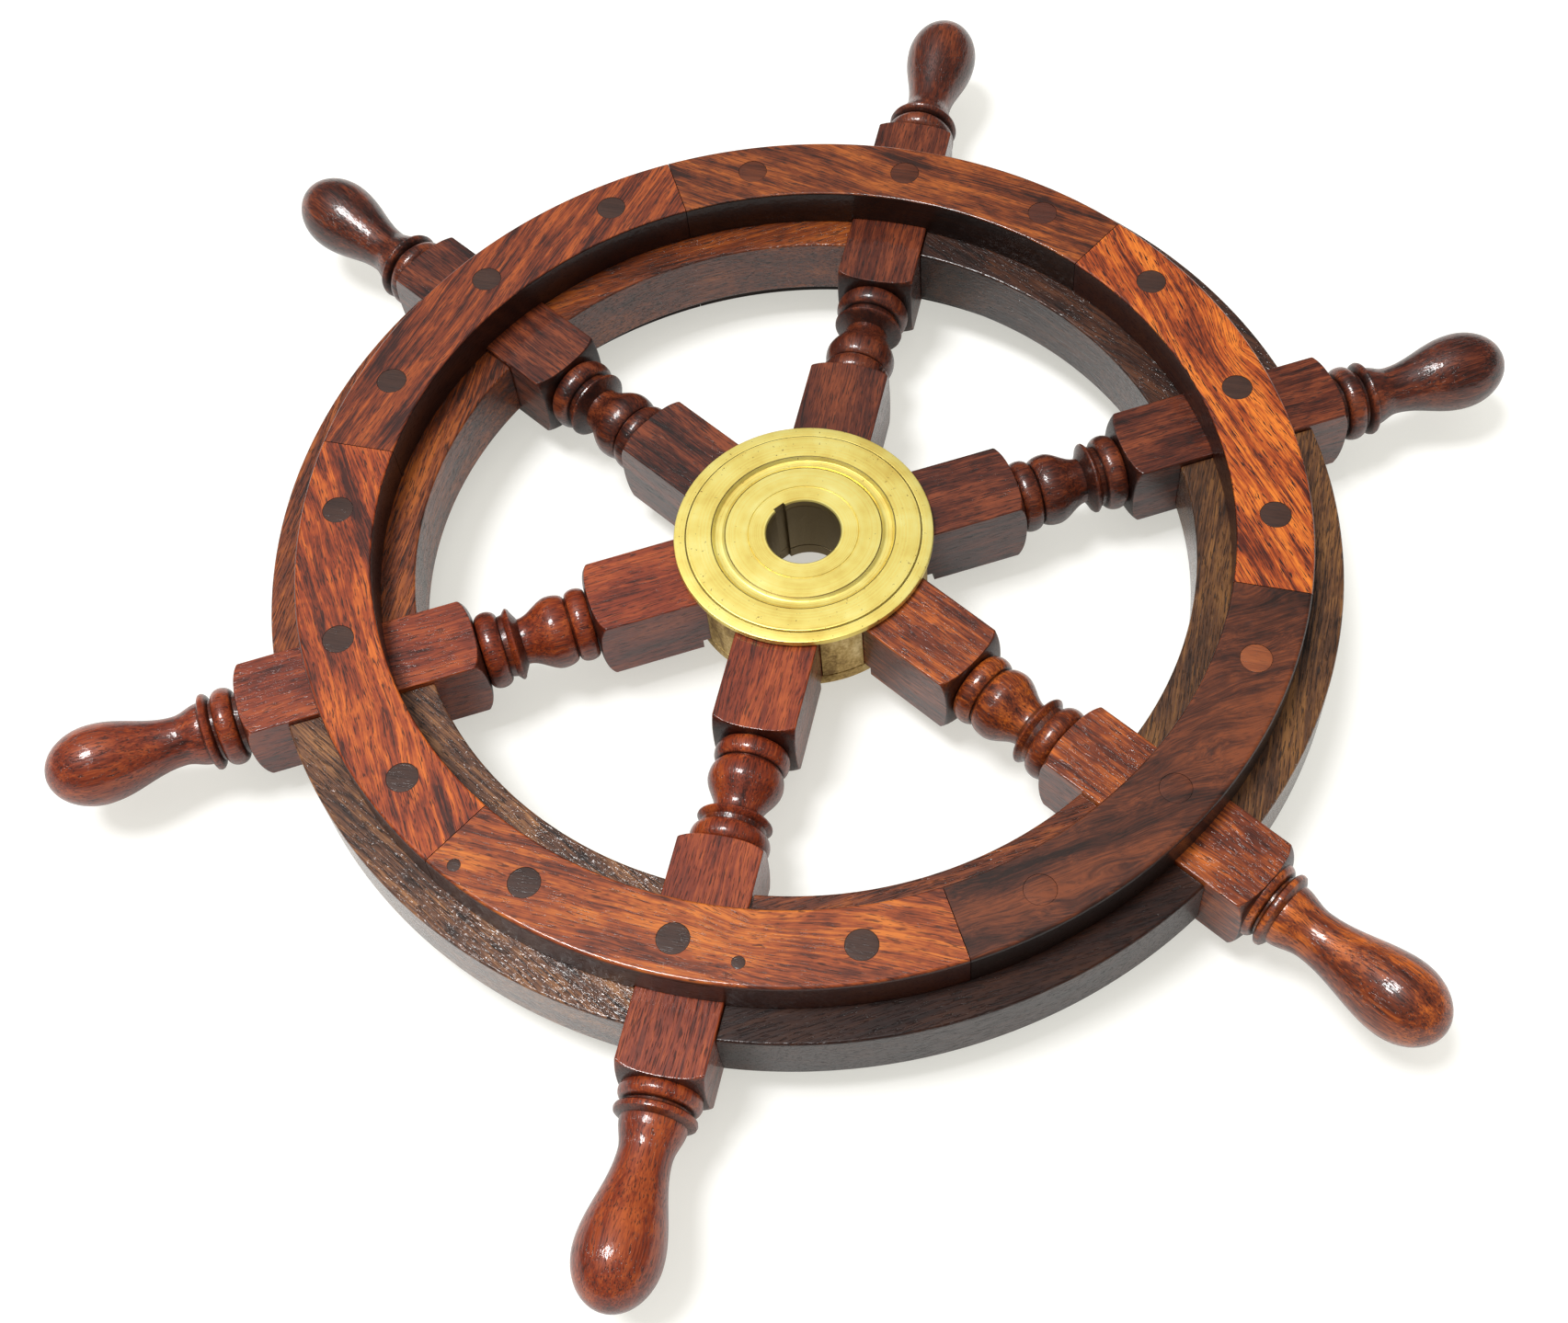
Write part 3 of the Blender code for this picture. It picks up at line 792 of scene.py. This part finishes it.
# The upright walls of the rings are darkened nearly black as painted shade.
RING_LOOK = {"lines": 1.6, "relief": 0.015, "ripple": (4.5, 2.6, 0.1), "stain_and_shade": upright_faces}
RINGS = {
    1: {"palette": HONEY, "grain_deg": 88, "wander": 9.0, "knot": (27, -169, -9, 30, 18)},
    2: {"palette": BURL, "grain_deg": 60, "figure": 12.0, "wander": 24.0, "pore": 0.3, "contrast": 0.9},
    3: {"palette": ORANGE, "grain_deg": 94, "pore": 1.0, "contrast": 1.1, "knot": (6, -194, 12, 22, 16)},
    4: {"palette": AMBER_BROWN, "grain_deg": 78, "figure": 5.0, "contrast": 1.1},
    5: {"palette": CHESTNUT, "grain_deg": 106, "figure": 2.5},
    6: {"palette": RUSSET, "grain_deg": 92, "figure": 3.5, "wander": 8.0, "pore": 0.8},
}
PEG_PALETTES = {6: PEG_ORANGE, 10: PEG_RED, 11: PEG_AMBER, 12: PEG_AMBER}
PEG_LOOK = {"figure": 4.0, "wander": 2.0, "contrast": 0.5, "pore": 0.3, "coat": 0.4}
PEGS_OF_RING_TIMBER = {4: 2, 5: 2}


def sector_deg(number):
    """The direction of a spoke."""
    return 60 * number - 150


def place_spoke(number):
    turn_deg = sector_deg(number)
    look = dict(SPOKES[number])
    spoke = spoke_mesh(*look.pop("shape"), seen_from(turn_deg, peg_name(3 * number - 1)))
    timber = wood(f"spoke_wood_{number}", seed=number * 13.7, stain_and_shade=across_spoke(turn_deg), **look)
    place(f"turned_spoke_{number}", spoke, turned_by(turn_deg), timber, f"spoke_{number}")


def place_felloe(number):
    """The felloe that follows a spoke, with the last peg of its segment and the first of the next one."""
    turn_deg = sector_deg(number) + 30
    drilled_at = [seen_from(turn_deg, peg_name(n)) for n in (3 * number, 3 * number + 1)]
    timber = wood(f"felloe_wood_{number}", seed=number * 9.1, **{**FELLOE_LOOK, **FELLOES[number]})
    felloe = felloe_mesh(drilled_at)
    place(f"sawn_felloe_{number}", felloe, turned_by(turn_deg), timber, f"felloe_{number}")


def place_rings(number, timber):
    turn_deg = sector_deg(number)
    drilled_at = [seen_from(turn_deg, peg_name(n)) for n in range(3 * number - 2, 3 * number + 1)]
    fillers = [seen_from(turn_deg, f"filler_plug_{n}") for n in (1, 2)] if number == 1 else []
    front, back = ring_mesh(drilled_at, fillers), ring_mesh([(x, -y) for x, y in drilled_at])
    matrix = turned_by(turn_deg)
    flipped = matrix @ Matrix.Rotation(math.pi, 4, "X")
    place(f"front_ring_{number}", front, matrix, timber, f"front_ring_segment_{number}")
    place(f"back_ring_{number}", back, flipped, timber, f"back_ring_segment_{number}")


def place_pegs(ring_timbers):
    """Pegs and fillers. Two pegs are of their ring segment's own timber and carry on its figure."""
    peg = plug_mesh(PEG_RADIUS, PEG_LOW, PEG_HIGH)
    for number in range(1, 19):
        at = Matrix.Translation((*seen_from(0, peg_name(number)), 0))
        segment = PEGS_OF_RING_TIMBER.get(number)
        if segment:
            timber, pattern_in = ring_timbers[segment], turned_by(-sector_deg(segment)) @ at
        else:
            palette = PEG_PALETTES.get(number, PEG_BROWN)
            timber = wood(f"peg_wood_{number:02d}", palette, seed=number * 3.1, **PEG_LOOK)
            pattern_in = IN_PLACE
        place(f"peg_{number:02d}", peg, at, timber, peg_name(number), pattern_in)
    filler = plug_mesh(FILLER_RADIUS, FILLER_LOW, RING_HIGH)
    for number in (1, 2):
        timber = wood(f"filler_wood_{number}", PEG_BROWN, seed=number * 4.7, **PEG_LOOK)
        at = Matrix.Translation((*seen_from(0, f"filler_plug_{number}"), 0))
        place(f"filler_{number}", filler, at, timber, f"filler_plug_{number}")


def place_hub():
    polished, cast = polished_brass(), cast_brass()
    drum = wall_mesh("drum", DRUM_LOW, DRUM_HIGH, sockets())
    back = wall_mesh("back", BACK_LOW, BACK_HIGH, [])
    place("front_plate", plate_mesh(), IN_PLACE, polished, "hub_front_plate")
    place("cast_drum", drum, IN_PLACE, cast, "hub_drum")
    place("back_plate", back, IN_PLACE, cast, "hub_back_plate")
    for number in range(1, 7):
        at = Matrix.Translation((*polar(SCREW_CIRCLE, 60 * number - 120), 0))
        place(f"screw_{number}", screw_mesh(), at, cast, f"hub_screw_{number}", at)


def build_wheel():
    ring_timbers = {}
    for number, look in RINGS.items():
        look = {**RING_LOOK, **look}
        ring_timbers[number] = wood(f"ring_wood_{number}", seed=number * 5.3, **look)
        place_spoke(number)
        place_felloe(number)
        place_rings(number, ring_timbers[number])
    place_pegs(ring_timbers)
    place_hub()


# Table, light and camera

WINDOW = (-0.36, 0.40, 0.84)


def lay_table():
    """A pale table, lit up further for the camera and for reflections, so that it burns out to white."""
    bm = bmesh.new()
    bmesh.ops.create_grid(bm, x_segments=1, y_segments=1, size=20.0)
    mesh = bpy.data.meshes.new("table")
    bm.to_mesh(mesh)
    bm.free()
    material, tree, shader = new_material("white_table")
    rays = add(tree, "ShaderNodeLightPath").outputs
    seen = maths(tree, "MULTIPLY", rays["Is Camera Ray"], 0.52)
    glow = {
        "Base Color": (0.5, 0.5, 0.5, 1.0),
        "Roughness": 0.9,
        "Emission Color": (1.0, 0.99, 0.91, 1.0),
        "Emission Strength": maths(tree, "MULTIPLY_ADD", rays["Is Glossy Ray"], 0.2, seen),
    }
    feed(tree, shader, glow)
    mesh.materials.append(material)
    table = bpy.data.objects.new("table", mesh)
    bpy.context.scene.collection.objects.link(table)


def light_scene():
    """A warm sky, brightest overhead and seen as plain white, and one broad lamp high on the left. What
    shines reflects a dark room with a pale window."""
    world = bpy.data.worlds.new("studio")
    world.use_nodes = True
    bpy.context.scene.world = world
    tree = world.node_tree
    direction = add(tree, "ShaderNodeTexCoord").outputs["Generated"]
    upward = add(tree, "ShaderNodeSeparateXYZ", {"Vector": direction}).outputs["Z"]
    sky = ramp(tree, upward, [(0.0, (0.25, 0.25, 0.25)), (1.0, (1.12, 1.09, 1.02))])
    towards_window = vector_value(tree, "DOT_PRODUCT", direction, WINDOW)
    window = ramp(tree, towards_window, [(0.88, 0.1), (0.98, 0.4)])
    rays = add(tree, "ShaderNodeLightPath").outputs
    reflected = mix(tree, rays["Is Glossy Ray"], sky, window)
    seen = mix(tree, rays["Is Camera Ray"], reflected, (1.2, 1.2, 1.2, 1.0))
    tree.links.new(seen, tree.nodes["Background"].inputs["Color"])
    lamp = bpy.data.lights.new("lamp", "SUN")
    lamp.energy = 2.6
    lamp.angle = math.radians(18)
    sun = bpy.data.objects.new("lamp", lamp)
    sun.rotation_euler = (math.radians(4), math.radians(-16), 0)
    bpy.context.scene.collection.objects.link(sun)
    bpy.context.scene.view_settings.view_transform = "Standard"


def aim_camera():
    lens = bpy.data.cameras.new("camera")
    lens.lens = 49.472
    lens.shift_x, lens.shift_y = -0.04818, 0.00773
    camera = bpy.data.objects.new("camera", lens)
    camera.location = (0.14804, -0.46086, 0.74854)
    camera.rotation_euler = [math.radians(a) for a in (30.8007, 2.1594, 12.0681)]
    bpy.context.scene.collection.objects.link(camera)
    bpy.context.scene.camera = camera


build_wheel()
lay_table()
light_scene()
aim_camera()
